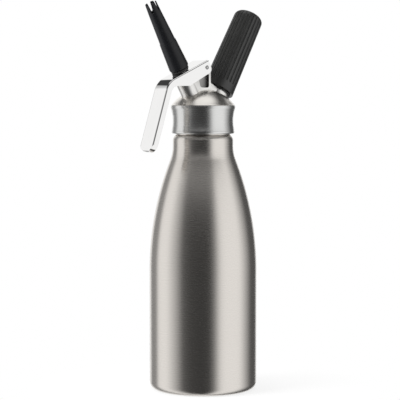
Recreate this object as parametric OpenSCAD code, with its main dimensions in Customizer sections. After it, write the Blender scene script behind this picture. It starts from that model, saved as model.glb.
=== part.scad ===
// Whipped cream dispenser: a steel bottle with a screw-on head, a squeeze lever over a spring valve,
// a decorating nozzle and a holder for a gas charger. Millimetres, +Z up, origin at the centre of the
// base. The lever and the nozzle point towards -X and the charger holder towards +X.

/* [Bottle] */
// Outer radius of the body
bottle_r = 48.2; // [46:0.1:50]
// Thickness of the steel wall
bottle_wall = 1.1; // [0.8:0.1:1.6]
// Radius of the corner at the base
base_corner_r = 6.8; // [4:0.1:9]
// Height where the straight body ends
shoulder_z = 107; // [95:1:110]
// Radius of the long curve of the shoulder
shoulder_r = 275; // [265:1:285]
// Radius of the curve from the shoulder into the neck
neck_blend_r = 34; // [28:1:38]
// Outer radius of the neck
neck_r = 27.1; // [26.8:0.1:27.6]
// Height where the neck rounds over to the thread
neck_top_z = 224.2; // [223:0.1:225]
// Radius of that rounding
neck_round_r = 5.5; // [4.5:0.1:6]
// Radius of the neck's screw thread, as a plain cylinder
thread_r = 24.9; // [24.7:0.05:24.95]
// Inner radius of the mouth
mouth_r = 22.4; // [21.5:0.1:22.6]
// Height of the mouth
mouth_z = 252; // [250:0.5:252]

/* [Collar and dome] */
// Height of the collar's lower edge
collar_z = 230; // [229.5:0.1:231]
// Height of the joint between the collar and the dome
rim_z = 255.2; // [255.2:0.1:256]
// Radius of the collar at its waist
waist_r = 27.1; // [27:0.05:27.6]
// Radius of the curve that makes the waist
waist_curve_r = 36; // [32:1:42]
// Height of the waist
waist_z = 241.5; // [240:0.5:243]
// Radius of the dome
dome_r = 35; // [34.5:0.1:36]
// Height of the dome's centre
dome_centre_z = 235; // [234:0.1:236]
// Thickness of the dome
dome_wall = 2; // [1.5:0.1:2.2]
// Inner radius of the threaded skirt under the collar
skirt_r = 25; // [25:0.01:25.05]
// Outer radius of the skirt, and the bore of the collar
skirt_outer_r = 26; // [25.8:0.1:26.2]

/* [Valve and nozzle] */
// Lean of the valve and the nozzle from upright
valve_tilt = 30; // [28:0.5:32]
// Height where the valve's axis crosses the bottle's axis
valve_z = 240.7; // [240:0.1:241.5]
// Radius of the valve boss
boss_r = 8.4; // [8:0.1:8.8]
// Radius of the spindle's shank
spindle_r = 4; // [3.8:0.1:4.2]
// Radius of the spindle's threaded top
spindle_top_r = 5; // [4.8:0.1:5.2]
// Length of the nozzle
nozzle_len = 65; // [55:1:75]
// Radius of the nozzle at its base
nozzle_base_r = 8.85; // [8.4:0.05:9.2]
// Radius of the nozzle at its tip
nozzle_tip_r = 5.25; // [5:0.05:5.6]
// Number of prongs in the crown
prongs = 5; // [4:1:6]
// Length of the prongs
prong_len = 8.5; // [7:0.5:12]
// Width of the slots between the prongs, at their round foot
slot_w = 1.8; // [1.6:0.1:2]
// Width of the slots at the tip
slot_mouth_w = 3.1; // [2.8:0.1:3.2]
// Number of turns of the valve spring
spring_turns = 5; // [4:1:6]

/* [Charger holder] */
// Lean of the charger holder from upright
charger_tilt = 29.5; // [29:0.1:30]
// Height where the holder's axis crosses the bottle's axis
charger_z = 238.45; // [238:0.05:239]
// Radius of the grip at its rim
grip_r = 14.5; // [14:0.1:15]
// Radius of the grip at its closed end
grip_top_r = 13.3; // [12.8:0.1:14]
// Length of the grip
grip_len = 79.6; // [78:0.1:84]
// Number of ribs round the grip
ribs = 24; // [16:2:28]
// Depth of the grooves between the ribs
groove_depth = 0.8; // [0.4:0.1:1]
// Radius of the gas charger
charger_r = 9; // [8.9:0.05:9]
// Length of the gas charger
charger_len = 65.5; // [64:0.5:65.5]

/* [Lever] */
// Distance of the lever's pin from the bottle's axis
pivot_x = -4.5; // [-5:0.1:-4]
// Height of the lever's pin
pivot_z = 289; // [288.5:0.1:290]
// Slope of the upper arm below level
upper_slope = 24.4; // [24:0.1:25.5]
// Lean of the lower arm from upright
lower_lean = 18; // [17:0.5:22]
// Distance of the upper arm's outer face from the pin's centre
nose_r = 5.5; // [5.4:0.05:5.6]
// Length of the upper arm, from beside the pin to the corner of the bend
upper_len = 43.8; // [42:0.1:48]
// Length of the lower arm, from the corner of the bend to the corner of the tip
lower_len = 67; // [52:0.5:70]
// Radius of the bend's outer face
bend_r = 18; // [14:1:24]
// Slope of the tip above level, where it turns in towards the bottle
tip_rise = 20; // [14:1:22]
// Thickness of the lever's sheet
sheet = 1.2; // [1:0.1:1.3]
// Width of the lever at its pin
lever_w = 23; // [22.6:0.1:24]
// Width of the lower arm
lever_tip_w = 18.2; // [18:0.1:20]
// Depth of the lower arm's rolled side
skirt_depth = 5.75; // [4:0.25:7]
// Radius of the lever pin
pin_r = 1.75; // [1.5:0.05:1.9]

/* [Hidden] */
$fn = 96;
cut = 1;            // overlap that lets a cut run past a face
running = 0.05;     // radial clearance of a running fit

// Stations along the valve's axis, measured up from the bottle's axis
seal_s = 17;        // face where the seal meets the seat
boss_foot_s = 18;   // lower end of the boss, inside the dome
guide_s = 26;       // lower end of the guide
spring_s = 36.5;    // floor of the spring's pocket
boss_top_s = 43.8;  // upper end of the boss
collar_s = 47.6;    // lower face of the spindle's collar
plate_s = 49.6;     // upper face of that collar, under the lever
washer_s = 52.45;   // lower face of the nozzle's washer
nozzle_s = 54.6;    // lower face of the nozzle
adaptor_s = 66.5;   // upper end of the threaded adaptor
valve_bore_r = 6.2; // bore of the boss
seal_r = 6.6;
stem_r = 2.5;       // threaded stem under the spindle's shoulder
cream_r = 2.2;      // bore of the spindle
adaptor_r = 6.3;    // thread that carries the nozzle, and that its washer slides over

// Stations along the charger holder's axis
seat_t = 33.6;            // face of the charger boss
rim_t = seat_t + 1.05;    // rim of the holder
charger_t = seat_t + 7.6; // sealed neck of the charger
sleeve_top_t = charger_t + charger_len + 2.3;
charger_boss_r = 10.6;
stub_r = 9.7;       // thread that carries the holder
sleeve_r = 11.2;    // outside of the metal sleeve
block_w = 16;       // width of the head block between its flat faces
block_edge_x = 2.4; // flat end of the head block, beside the holder
lug_r = 4;          // round top of the block, about the lever pin

// ---- outline helpers ----

function unit(v) = v / norm(v);
function turn(angle) = [cos(angle), sin(angle)];
function arc(centre, r, from, to, steps = 12) =
    [for (i = [0:steps]) centre + r * turn(from + (to - from) * i / steps)];
function reversed(list) = [for (i = [len(list) - 1:-1:0]) list[i]];

// An arc of radius r in place of the corner between two straight edges
function corner_arc(before, corner, after, r, steps = 10) =
    let (u = unit(before - corner),
         w = unit(after - corner),
         half = acos(u * w) / 2,
         centre = corner + unit(u + w) * r / sin(half),
         first = corner + u * r / tan(half) - centre,
         last = corner + w * r / tan(half) - centre,
         from = atan2(first.y, first.x),
         sweep = (atan2(last.y, last.x) - from + 540) % 360 - 180)
    arc(centre, r, from, from + sweep, steps);

function rounded(points, radii) =
    let (n = len(points))
    [for (i = [0:n - 1])
        each radii[i] > 0
            ? corner_arc(points[(i + n - 1) % n], points[i], points[(i + 1) % n], radii[i])
            : [points[i]]];

// ---- placing helpers ----

module turned(points) rotate_extrude() polygon(points);

module ring(outer, inner, from, to)
    translate([0, 0, from])
        difference() {
            cylinder(r = outer, h = to - from);
            translate([0, 0, -cut]) cylinder(r = inner, h = to - from + 2 * cut);
        }

module rod(r, from, to) translate([0, 0, from]) cylinder(r = r, h = to - from);

module on_valve_axis() translate([0, 0, valve_z]) rotate([0, -valve_tilt, 0]) children();

module on_charger_axis() translate([0, 0, charger_z]) rotate([0, charger_tilt, 0]) children();

// A side outline, drawn in X and Z, made a plate of width w about the plane of symmetry
module side_plate(w) rotate([90, 0, 0]) linear_extrude(height = w, center = true) children();

function valve_point(s) = [-s * sin(valve_tilt), valve_z + s * cos(valve_tilt)];
function charger_point(t) = [t * sin(charger_tilt), charger_z + t * cos(charger_tilt)];

// ---- bottle ----

shoulder_centre = [bottle_r - shoulder_r, shoulder_z];
blend_dx = neck_r + neck_blend_r - shoulder_centre.x;
blend_dz = sqrt(pow(shoulder_r + neck_blend_r, 2) - pow(blend_dx, 2));
blend_angle = atan2(blend_dz, blend_dx);
blend_centre = [neck_r + neck_blend_r, shoulder_z + blend_dz];

// Half outline of the bottle at a depth under its outer face, from the base up into the neck
function bottle_side(depth) = concat(
    arc([bottle_r - base_corner_r, base_corner_r], base_corner_r - depth, -90, 0),
    arc(shoulder_centre, shoulder_r - depth, 0, blend_angle, 28),
    arc(blend_centre, neck_blend_r + depth, 180 + blend_angle, 180, 8));

module bottle() {
    round_centre = [neck_r - neck_round_r, neck_top_z];
    round_end = acos((thread_r - round_centre.x) / neck_round_r);
    mouth_step = 4.5;
    color("lightsteelblue")
        turned(concat(
            [[0, 0]],
            bottle_side(0),
            arc(round_centre, neck_round_r, 0, round_end),
            [[thread_r, mouth_z], [mouth_r, mouth_z], [mouth_r, neck_top_z + mouth_step]],
            reversed(bottle_side(bottle_wall)),
            [[0, bottle_wall]]));
}

gasket_top_z = mouth_z + 2.2;

module head_gasket()
    color("white")
        ring(skirt_r - 0.2, mouth_r + 0.2, mouth_z, gasket_top_z);

// ---- head ----

module head_dome() {
    centre = [0, dome_centre_z];
    inner_r = dome_r - dome_wall;
    throat_r = mouth_r - 0.1;
    skirt_z = collar_z + 1;
    color("silver")
        difference() {
            turned(concat(
                [[skirt_r, skirt_z], [skirt_outer_r, skirt_z], [skirt_outer_r, rim_z]],
                arc(centre, dome_r, asin((rim_z - dome_centre_z) / dome_r), 90, 20),
                arc(centre, inner_r, 90, acos(throat_r / inner_r), 16),
                [[throat_r, gasket_top_z], [skirt_r, gasket_top_z]]));
            on_valve_axis() rod(boss_r + running, boss_foot_s, boss_top_s);
            on_charger_axis() rod(pin_spigot_r + running, pin_spigot_t - cut, seat_t);
        }
}

module head_collar() {
    lip_r = 28.1;
    line_z = collar_z + 2.5;
    line_w = 0.4;
    line_depth = 0.3;
    rim_r = 28.9;
    flare_z = rim_z - 2.3;
    waist_centre = [waist_r + waist_curve_r, waist_z];
    color("gainsboro")
        turned(concat(
            [[skirt_outer_r, collar_z], [lip_r - 0.9, collar_z]],
            arc([lip_r - 1.3, collar_z + 1.3], 1.3, -70, 0, 6),
            [[lip_r, line_z],
             [lip_r - line_depth, line_z],
             [lip_r - line_depth, line_z + line_w]],
            arc(waist_centre, waist_curve_r,
                180 + asin((waist_z - line_z - line_w) / waist_curve_r),
                180 - asin((flare_z - waist_z) / waist_curve_r), 20),
            [[rim_r, rim_z - 0.4], [rim_r - 0.4, rim_z], [skirt_outer_r, rim_z]]));
}

module head_block() {
    over_plate_slope = 35.5;
    shoulder_down = -over_plate_slope + 90;
    dome_gap = 0.05;
    collar_room = 8.3;
    spring_pocket_r = 7;
    web_foot_s = 28;
    web_foot_t = 28;
    color("whitesmoke")
        difference() {
            union() {
                difference() {
                    union() {
                        side_plate(block_w)
                            polygon(concat(
                                [valve_point(boss_top_s + 3), valve_point(web_foot_s),
                                 charger_point(web_foot_t), charger_point(block_face_t),
                                 block_seat_corner(), [block_edge_x, pivot_z - 2]],
                                arc([pivot_x, pivot_z], lug_r, 10, 90 + over_plate_slope)));
                        on_charger_axis() rod(charger_boss_r, web_foot_t - 2, seat_t);
                    }
                    translate([0, 0, dome_centre_z]) sphere(r = dome_r + dome_gap);
                    on_valve_axis() rod(collar_room, boss_top_s, nozzle_s);
                    for (side = [-1, 1]) block_pocket(side);
                }
                on_valve_axis() rod(boss_r, boss_foot_s, boss_top_s);
            }
            on_valve_axis() {
                rod(valve_bore_r, boss_foot_s - cut, boss_top_s + cut);
                rod(spring_pocket_r, spring_s, boss_top_s + cut);
            }
            on_charger_axis() rod(pin_spigot_r, pin_spigot_t - cut, seat_t + cut);
            translate([pivot_x, 0, pivot_z]) rotate([90, 0, 0])
                cylinder(r = pin_r, h = block_w + 2 * cut, center = true);
        }
}

block_face_t = seat_t - 0.3;    // face of the block, just under that of the charger boss

// Corner where the flat end of the block meets its face under the charger holder
function block_seat_corner() =
    let (seat = charger_point(block_face_t))
    [block_edge_x, seat.y + (seat.x - block_edge_x) * tan(charger_tilt)];

// Rounded recess in one flat face of the block
module block_pocket(side) {
    depth = 3.2;
    right_x = 0.3;
    left_x = -9.5;
    floor_z = 271.2;
    top_z = 283.5;
    lean = (top_z - floor_z) * tan(valve_tilt) / 2;
    translate([0, side * block_w / 2, 0])
        side_plate(2 * depth)
            polygon(rounded(
                [[right_x, top_z], [left_x - lean, top_z], [left_x, floor_z], [right_x, floor_z]],
                [1.5, 3, 3, 2]));
}

module valve_lock_nut() {
    across = 19.6;
    color("darkgray")
        on_valve_axis()
            difference() {
                rotate([0, 0, 30]) translate([0, 0, 20.2]) cylinder(d = across, h = 4, $fn = 6);
                rod(boss_r, boss_foot_s, guide_s);
            }
}

module valve_seat() {
    seat_bore_r = 5.2;
    color("gold")
        on_valve_axis() {
            ring(boss_r - 0.2, seat_bore_r, seal_s, boss_foot_s);
            ring(valve_bore_r, seat_bore_r, boss_foot_s, boss_foot_s + 4);
        }
}

module valve_guide()
    color("gold")
        on_valve_axis() ring(valve_bore_r, spindle_r + running, guide_s, spring_s);

// ---- charger side of the head ----

pin_spigot_r = 4.5;
pin_spigot_t = seat_t - 5;
pin_socket_r = 3;
pin_socket_t = seat_t + 2;
neck_socket_t = seat_t + 5.5;
check_r = 2.4;
check_t = seat_t - 2;

module pin_holder() {
    neck_socket_r = 4.9;
    passage_r = 1;
    stub_top_t = seat_t + 13;
    color("silver")
        on_charger_axis()
            difference() {
                union() {
                    rod(pin_spigot_r, pin_spigot_t, seat_t + cut);
                    rod(stub_r, seat_t, stub_top_t);
                }
                rod(neck_socket_r, neck_socket_t, stub_top_t + cut);
                rod(pin_socket_r, pin_socket_t, neck_socket_t + cut);
                rod(passage_r, check_t - cut, pin_socket_t + cut);
                rod(check_r, pin_spigot_t - cut, check_t);
            }
}

needle_r = 1.1;

module piercing_pin() {
    gas_bore_r = 0.5;
    needle_top_t = charger_t + 2.4;
    color("goldenrod")
        on_charger_axis()
            turned([[gas_bore_r, pin_socket_t], [pin_socket_r, pin_socket_t],
                [pin_socket_r, neck_socket_t], [needle_r, neck_socket_t],
                [needle_r, needle_top_t - 1], [gas_bore_r + 0.1, needle_top_t],
                [gas_bore_r, needle_top_t]]);
}

module pin_gasket()
    color("dimgray")
        on_charger_axis() ring(4.6, needle_r, neck_socket_t, charger_t - 0.1);

module check_valve()
    color("dimgray")
        on_charger_axis() ring(check_r, 0.6, pin_spigot_t - 0.8, check_t);

// ---- lever and its pin ----

pivot = [pivot_x, pivot_z];
upper_dir = turn(180 + upper_slope);
lower_dir = turn(270 - lower_lean);
upper_normal = turn(90 + upper_slope);
lower_normal = turn(180 - lower_lean);
tip_dir = turn(tip_rise);
tip_normal = turn(90 + tip_rise);
tip_half = (90 - lower_lean - tip_rise) / 2;
tip_curve_r = 0.55 * skirt_depth;   // curve from the lower arm into the tip
bend_corner = pivot + nose_r * upper_normal + upper_len * upper_dir;
bend_half = (90 - upper_slope - lower_lean) / 2;

// Corner of the bend on the face that lies a depth under the lever's outer face
function bend_point(depth) = bend_corner
    - depth / cos(bend_half) * unit(upper_normal + lower_normal);

// Corner at the tip, where the lower arm turns in towards the bottle, at the same depth
function tip_point(depth) = bend_corner + lower_len * lower_dir
    + depth / (1 - lower_normal * tip_normal) * (tip_normal - lower_normal);

// Side line of the lever a depth under its outer face, from a start before the bend to the end of
// the turned-in tip
function lever_line(depth, before) =
    let (corner = bend_point(depth),
         first = corner - before * upper_dir,
         tip = tip_point(depth),
         last = tip + (skirt_depth - depth) / (-tip_dir * lower_normal) * tip_dir)
    concat([first],
        corner_arc(first, corner, tip, bend_r - depth, 14),
        corner_arc(corner, tip, last, tip_curve_r - depth, 8),
        [last]);

lever_half_w = lever_w / 2;
tip_half_w = lever_tip_w / 2;

// Outline of the lever seen from above, an inset inside its edges
module lever_plan(inset) {
    taper_end_x = bend_corner.x + 2;
    far = 40;
    translate([0, 0, pivot_z - 100])
        linear_extrude(height = 150)
            polygon([
                [far, lever_half_w - inset], [pivot_x + 10, lever_half_w - inset],
                [taper_end_x, tip_half_w - inset], [taper_end_x - far, tip_half_w - inset],
                [taper_end_x - far, inset - tip_half_w], [taper_end_x, inset - tip_half_w],
                [pivot_x + 10, inset - lever_half_w], [far, inset - lever_half_w]]);
}

// Block with a rounded end, square to the lower arm, that trims the lever's tip
module tip_trim(inset) {
    tip_corner_r = 8.5;
    reach = 140;
    curved_off = tip_curve_r / tan(tip_half) - tip_curve_r;
    tip = bend_corner + (lower_len - curved_off) * lower_dir;
    translate([tip.x, 0, tip.y])
        rotate([0, lower_lean, 0])
            rotate([0, -90, 0])
                linear_extrude(height = 200, center = true) {
                    translate([tip_corner_r, -lever_w]) square([reach, 2 * lever_w]);
                    for (side = [-1, 1])
                        translate([tip_corner_r, side * (tip_half_w - tip_corner_r)])
                            circle(r = tip_corner_r - inset);
                    translate([inset, tip_corner_r - tip_half_w])
                        square([tip_corner_r, lever_tip_w - 2 * tip_corner_r]);
                }
}

// Sides of the lever: deep beside the valve, a narrow rolled edge down to the tip
module lever_side() {
    belly = [-23.2, 272.6];
    belly_end = [-37, 272.3];
    nose_reach = 4.2;
    nose_top = pivot + nose_r * upper_normal - nose_reach * upper_dir;
    nose_end = pivot - nose_r * upper_normal - (nose_reach + 0.4) * upper_dir;
    skirt_corner = bend_point(skirt_depth);
    skirt_line = [for (point = reversed(corner_arc(skirt_corner - upper_len * upper_dir,
            skirt_corner, skirt_corner + lower_len * lower_dir, bend_r - skirt_depth, 14)))
        if (point.y < belly_end.y - 1) point];
    polygon(concat(
        lever_line(0, upper_len),
        skirt_line,
        [belly_end],
        corner_arc(belly_end, belly, nose_end, 5),
        corner_arc(belly, nose_end, nose_top, 4.2),
        corner_arc(nose_end, nose_top, bend_corner, 1)));
}

module lever() {
    slot_r = 6;
    slot_half_shift = 1;
    slot_run = 20.4;
    below = 60;
    inner_line = lever_line(sheet, upper_len + 20);
    tip_inside = inner_line[len(inner_line) - 1];
    past_tip = tip_inside + 2 * tip_dir;
    slot_at = pivot + nose_r * upper_normal + slot_run * upper_dir;
    color("ghostwhite")
        difference() {
            intersection() {
                side_plate(2 * lever_w) lever_side();
                lever_plan(0);
                tip_trim(0);
            }
            intersection() {
                side_plate(2 * lever_w)
                    polygon(concat(inner_line,
                        [past_tip, past_tip - below * lower_normal,
                         inner_line[0] - below * upper_normal]));
                lever_plan(sheet);
                tip_trim(sheet);
            }
            translate([slot_at.x, 0, slot_at.y]) rotate([0, -upper_slope, 0]) {
                for (shift = [-1, 1])
                    translate([shift * slot_half_shift, 0, -2 * sheet])
                        cylinder(r = slot_r, h = 3 * sheet);
                translate([-slot_half_shift, -slot_r, -2 * sheet])
                    cube([2 * slot_half_shift, 2 * slot_r, 3 * sheet]);
            }
            translate([pivot_x, 0, pivot_z]) rotate([90, 0, 0])
                cylinder(r = pin_r + running, h = 2 * lever_w, center = true);
        }
}

module lever_pin()
    color("silver")
        translate([pivot_x, 0, pivot_z]) rotate([90, 0, 0])
            cylinder(r = pin_r, h = lever_w - 0.3, center = true);

module pivot_washers() {
    washer_r = 3.8;
    outer_y = 9.5;
    color("black")
        for (side = [0, 180])
            rotate([0, 0, side])
                translate([side == 0 ? pivot_x : -pivot_x, 0, pivot_z]) rotate([90, 0, 0])
                    ring(washer_r, pin_r, block_w / 2, outer_y);
}

// ---- valve spindle and what it carries ----

module valve_spindle() {
    stem_end_s = 10.6;
    groove_w = 1.6;
    groove_r = 3.1;
    groove_s = 31;
    inlet_s = 21;
    inlet_r = 1.5;
    color("lightgray")
        on_valve_axis()
            difference() {
                union() {
                    rod(stem_r, stem_end_s, seal_s + cut);
                    rod(spindle_r, seal_s, plate_s + cut);
                    rod(spindle_top_r, plate_s, adaptor_s);
                }
                rod(cream_r, inlet_s - 2, adaptor_s + cut);
                ring(spindle_r + cut, groove_r, groove_s - groove_w / 2, groove_s + groove_w / 2);
                for (angle = [0, 90])
                    translate([0, 0, inlet_s]) rotate([90, 0, angle])
                        cylinder(r = inlet_r, h = 3 * spindle_r, center = true);
            }
}

module spindle_collar()
    color("lightgray")
        on_valve_axis() ring(7.5, spindle_r, collar_s, plate_s);

module valve_seal()
    color("dimgray")
        on_valve_axis() ring(seal_r, stem_r, seal_s - 3.2, seal_s);

module seal_nut()
    color("lightgray")
        on_valve_axis()
            difference() {
                translate([0, 0, 11]) cylinder(r = 5, h = seal_s - 3.2 - 11, $fn = 6);
                rod(stem_r, 10, seal_s);
            }

module spindle_o_ring()
    color("black")
        on_valve_axis()
            translate([0, 0, 31]) rotate_extrude() translate([3.58, 0]) circle(r = 0.46, $fn = 24);

module nozzle_adaptor()
    color("silver")
        on_valve_axis() ring(adaptor_r, spindle_top_r, nozzle_s, adaptor_s);

// One unbroken wire: rings of points along a helix, joined into a tube
module valve_spring() {
    coil_r = 6.1;
    wire_r = 0.55;
    sides = 6;
    rings_per_turn = 12;
    rings = spring_turns * rings_per_turn;
    foot = spring_s + wire_r + 0.05;
    rise = collar_s - spring_s - 2 * wire_r - 0.1;
    points = [for (i = [0:rings]) for (j = [0:sides - 1])
        let (around = 360 * i / rings_per_turn,
             r = coil_r + wire_r * cos(360 * j / sides),
             z = foot + rise * i / rings + wire_r * sin(360 * j / sides))
        [r * cos(around), r * sin(around), z]];
    walls = [for (i = [0:rings - 1]) for (j = [0:sides - 1])
        [i * sides + j, i * sides + (j + 1) % sides,
         (i + 1) * sides + (j + 1) % sides, (i + 1) * sides + j]];
    ends = [[for (j = [sides - 1:-1:0]) j], [for (j = [0:sides - 1]) rings * sides + j]];
    echo(least_gap_of_spring_turns = rise / spring_turns - 2 * wire_r);
    color("gray") on_valve_axis() polyhedron(points, concat(walls, ends));
}

// ---- nozzle ----

module nozzle_washer()
    color("black")
        on_valve_axis() ring(8, adaptor_r + running, washer_s, washer_s + 1.95);

module decorator_nozzle() {
    top = nozzle_s + nozzle_len;
    crown = top - prong_len;
    step = nozzle_s + 26.5;
    step_in = 0.4;
    taper = (nozzle_base_r - nozzle_tip_r) / nozzle_len;
    step_r = nozzle_base_r - taper * (step - nozzle_s) + step_in / 2;
    thread_top = adaptor_s + 1;
    socket_r = adaptor_r + running;
    throat_r = 5.4;
    outlet_r = 4.1;
    foot_r = slot_w / 2;
    mouth = slot_mouth_w / 2;
    tip_round = 0.9;
    color("black")
        on_valve_axis()
            difference() {
                turned([[socket_r, nozzle_s], [nozzle_base_r - 0.9, nozzle_s],
                    [nozzle_base_r - 0.25, nozzle_s + 0.6], [nozzle_base_r, nozzle_s + 1.6],
                    [step_r, step], [step_r - step_in, step + 0.3],
                    [nozzle_tip_r, top - 0.6], [nozzle_tip_r - 0.4, top], [outlet_r, top],
                    [outlet_r, crown - 4], [throat_r, thread_top], [socket_r, thread_top]]);
                for (i = [0:prongs - 1])
                    rotate([0, 0, 360 / prongs * i]) rotate([90, 0, 90])
                        linear_extrude(height = nozzle_base_r)
                            polygon(concat(
                                [[-mouth - tip_round, top + cut]],
                                arc([-mouth - tip_round, top - tip_round], tip_round, 90, 0, 4),
                                arc([0, crown + foot_r], foot_r, 180, 360, 8),
                                arc([mouth + tip_round, top - tip_round], tip_round, 180, 90, 4),
                                [[mouth + tip_round, top + cut]]));
            }
}

// ---- charger holder ----

module holder_ring()
    color("black")
        on_charger_axis() ring(12.2, stub_r + running, seat_t, rim_t);

module holder_sleeve() {
    charger_room_r = charger_r + 0.2;
    thread_room_t = seat_t + 14;
    room_top_t = sleeve_top_t - 1;
    color("silver")
        on_charger_axis()
            turned([[stub_r + running, rim_t], [sleeve_r, rim_t], [sleeve_r, sleeve_top_t],
                [0, sleeve_top_t], [0, room_top_t], [charger_room_r, room_top_t],
                [charger_room_r, thread_room_t], [stub_r + running, thread_room_t]]);
}

module holder_grip() {
    top = rim_t + grip_len;
    edge_r = 5.5;
    crown_h = 0.4;
    band_t = rim_t + 8;
    lean = atan2(grip_r - grip_top_r, grip_len);
    groove_w = 0.55 * 360 / ribs * PI / 180 * grip_r;
    color("darkslategray")
        on_charger_axis()
            difference() {
                turned(concat(
                    [[sleeve_r, rim_t], [grip_r - 0.6, rim_t], [grip_r, rim_t + 0.6]],
                    corner_arc([grip_r, rim_t], [grip_top_r, top - crown_h], [0, top], edge_r),
                    [[0, top], [0, sleeve_top_t], [sleeve_r, sleeve_top_t]]));
                for (i = [0:ribs - 1])
                    rotate([0, 0, 360 / ribs * (i + 0.5)])
                        translate([grip_r - groove_depth - lean * PI / 180 * 8, 0, band_t])
                            rotate([0, -lean, 0])
                                translate([0, -groove_w / 2, 0])
                                    cube([2 * groove_depth, groove_w, grip_len]);
            }
}

module charger_pad()
    color("dimgray")
        on_charger_axis() rod(7.5, sleeve_top_t - 2, sleeve_top_t - 1);

module gas_charger() {
    neck_outer_r = 4.3;
    neck_end = charger_t + 6.5;
    shoulder_end = charger_t + 14;
    round_at = charger_t + charger_len - charger_r;
    shell = 1.4;
    pierced_r = 1.3;
    color("lightgray")
        on_charger_axis()
            turned(concat(
                [[pierced_r, charger_t], [neck_outer_r, charger_t], [neck_outer_r, neck_end],
                 [charger_r, shoulder_end]],
                arc([0, round_at], charger_r, 0, 90),
                arc([0, round_at], charger_r - shell, 90, 0),
                [[charger_r - shell, shoulder_end + 0.5], [pierced_r, neck_end + 1]]));
}

bottle();
head_gasket();
head_dome();
head_collar();
head_block();
valve_lock_nut();
valve_seat();
valve_guide();
pin_holder();
piercing_pin();
pin_gasket();
check_valve();
lever_pin();
pivot_washers();
lever();
valve_spindle();
spindle_collar();
valve_seal();
seal_nut();
spindle_o_ring();
nozzle_adaptor();
valve_spring();
nozzle_washer();
decorator_nozzle();
holder_ring();
holder_sleeve();
holder_grip();
charger_pad();
gas_charger();
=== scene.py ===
"""Looks of a whipped cream dispenser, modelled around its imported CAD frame.

Sizes in the classes are millimetres, as in the CAD source; meshes are made in metres. Each
sub-assembly is a class that models its pieces and dresses them, and main() builds them in order.
"""

from __future__ import annotations

import logging
import math
import sys
from collections.abc import Iterator, Sequence
from contextlib import contextmanager
from dataclasses import dataclass
from enum import Enum

import bmesh
import bpy
from mathutils import Matrix, Vector

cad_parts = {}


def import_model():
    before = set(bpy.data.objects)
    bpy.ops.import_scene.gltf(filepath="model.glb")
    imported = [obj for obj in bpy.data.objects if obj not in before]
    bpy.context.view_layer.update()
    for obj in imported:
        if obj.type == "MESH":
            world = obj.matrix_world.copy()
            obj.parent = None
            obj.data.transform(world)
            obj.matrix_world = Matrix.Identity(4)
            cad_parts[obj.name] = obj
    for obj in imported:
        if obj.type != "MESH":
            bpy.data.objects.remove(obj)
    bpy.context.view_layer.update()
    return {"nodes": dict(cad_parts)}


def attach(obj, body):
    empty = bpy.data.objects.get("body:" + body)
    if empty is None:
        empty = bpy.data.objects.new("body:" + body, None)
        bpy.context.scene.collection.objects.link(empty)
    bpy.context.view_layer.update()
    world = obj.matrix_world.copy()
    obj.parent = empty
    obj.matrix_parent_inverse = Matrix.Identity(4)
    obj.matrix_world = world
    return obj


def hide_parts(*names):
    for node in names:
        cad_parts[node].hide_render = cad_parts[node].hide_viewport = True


log = logging.getLogger("dispenser")

MM = 0.001
Point = tuple[float, float]
Colour = tuple[float, float, float]

LEVER_PIVOT: Point = (-4.5, 289.0)
THREAD_TURNS = 4


# ---- outlines ----


def turn(angle: float) -> Vector:
    """Unit vector at an angle in degrees, anticlockwise from +X."""
    return Vector((math.cos(math.radians(angle)), math.sin(math.radians(angle))))


def arc(centre: Sequence[float], radius: float, start: float, end: float, steps: int = 12) -> list[Point]:
    """Points along an arc.

    Args:
        centre: Centre of the arc.
        radius: Its radius.
        start: First angle in degrees.
        end: Last angle in degrees.
        steps: Number of chords.

    Returns:
        The points, ends included.
    """
    middle = Vector(centre[:2])
    return [tuple(middle + radius * turn(start + (end - start) * i / steps)) for i in range(steps + 1)]


def corner(before: Point, at: Point, after: Point, radius: float, steps: int = 8) -> list[Point]:
    """Points of the arc that rounds a corner between two straight edges.

    Args:
        before: A point on the first edge.
        at: The corner.
        after: A point on the second edge.
        radius: Radius of the rounding.
        steps: Number of chords.

    Returns:
        The points of the arc, from the first edge to the second.
    """
    u = (Vector(before) - Vector(at)).normalized()
    w = (Vector(after) - Vector(at)).normalized()
    half = math.acos(max(-1.0, min(1.0, u.dot(w)))) / 2
    centre = Vector(at) + (u + w).normalized() * radius / math.sin(half)
    first = Vector(at) + u * radius / math.tan(half) - centre
    last = Vector(at) + w * radius / math.tan(half) - centre
    start = math.degrees(math.atan2(first.y, first.x))
    sweep = (math.degrees(math.atan2(last.y, last.x)) - start + 540) % 360 - 180
    return arc(centre, radius, start, start + sweep, steps)


def softened(outline: Sequence[tuple[float, float, float]], steps: int = 5) -> list[Point]:
    """Rounds the corners of an open outline.

    Args:
        outline: Points as (across, up, radius of the corner there).
        steps: Number of chords in each rounding.

    Returns:
        The outline with arcs in place of the corners that have a radius.
    """
    points: list[Point] = []
    for i, (x, y, radius) in enumerate(outline):
        if radius > 0 and 0 < i < len(outline) - 1:
            points += corner(outline[i - 1][:2], (x, y), outline[i + 1][:2], radius, steps)
        else:
            points.append((x, y))
    return points


def ring_outline(inner: float, outer: float, low: float, high: float, rounding: float,
                 steps: int) -> list[Point]:
    """Closed outline of a flat ring with rounded outer corners.

    Args:
        inner: Its inner radius.
        outer: Its outer radius.
        low: Height of its lower face.
        high: Height of its upper face.
        rounding: Radius of the outer corners.
        steps: Number of chords in each of them.

    Returns:
        The points as (radius, height).
    """
    return softened([(inner, low, 0), (outer, low, rounding), (outer, high, rounding), (inner, high, 0),
                     (inner, low, 0)], steps)


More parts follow.
